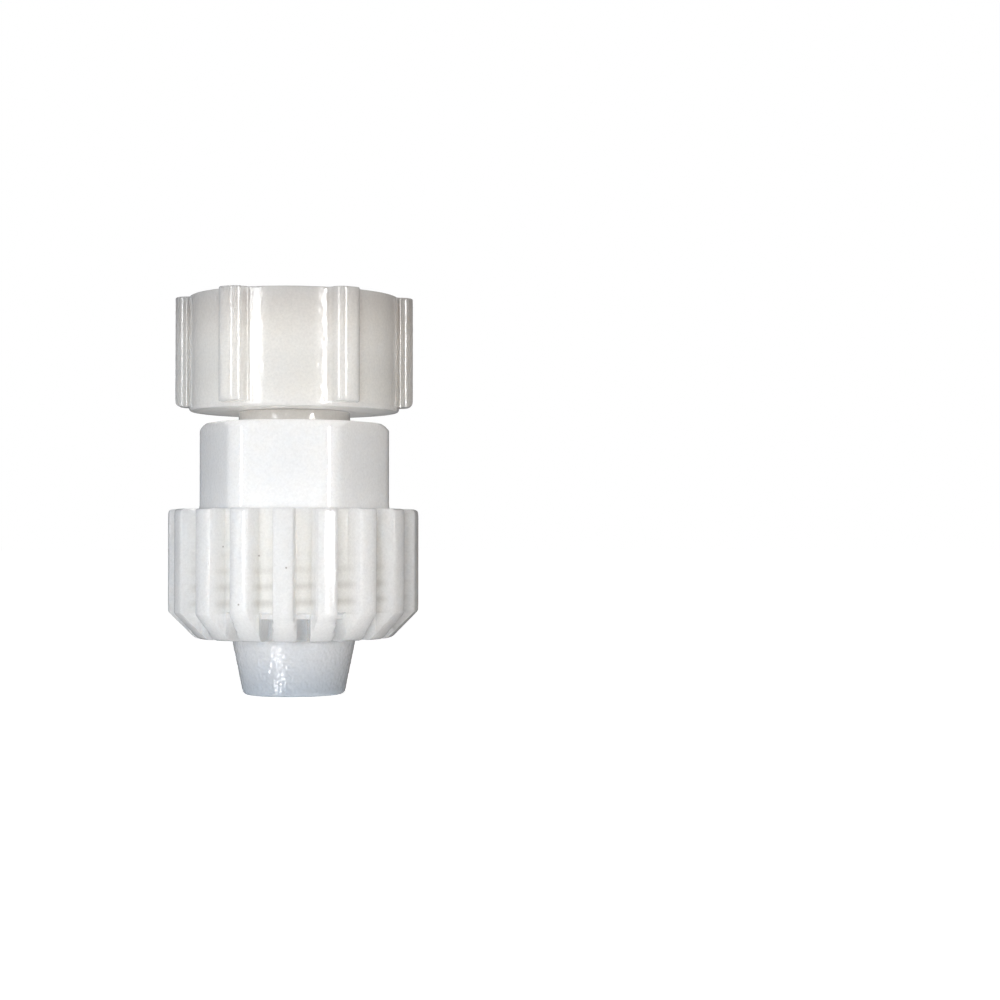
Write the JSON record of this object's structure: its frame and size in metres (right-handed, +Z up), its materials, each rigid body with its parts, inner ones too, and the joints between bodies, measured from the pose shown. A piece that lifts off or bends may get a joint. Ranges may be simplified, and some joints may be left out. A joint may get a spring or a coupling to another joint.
{
  "type": "threaded adapter",
  "caption": "Translucent plastic tube adapter: barbed body with a ribbed hexagon compression nut and a lobed swivel nut with a female pipe thread.",
  "frame": {"origin": "on the axis, in the plane of the barb tip on which the fitting stands", "axes": "+Z up along the axis from the barb to the pipe thread; -Y towards the camera of the picture"},
  "size_m": [0.0288, 0.0288, 0.0458],
  "materials": {
    "body_plastic": "natural milky translucent moulded plastic, fine pitted skin on the barb",
    "nut_plastic": "natural milky translucent moulded plastic, satin gloss",
    "swivel_plastic": "natural milky translucent moulded plastic, satin gloss",
    "washer_rubber": "soft pale grey rubber, matt"
  },
  "bodies": {
    "body": {"barbed_body": "body_plastic", "sealing_washer": "washer_rubber"},
    "ribbed_nut": {"compression_nut": "nut_plastic"},
    "swivel": {"swivel_nut": "swivel_plastic"}
  },
  "joints": [
    {"name": "swivel_turn", "type": "hinge", "parent": "body", "child": "swivel", "pos_m": [0, 0, 0.0337], "axis": [0, 0, 1], "continuous": true},
    {"name": "nut_turn", "type": "hinge", "parent": "body", "child": "ribbed_nut", "pos_m": [0, 0, 0.0257], "axis": [0, 0, 1], "range_deg": [-720, 270]}
  ]
}
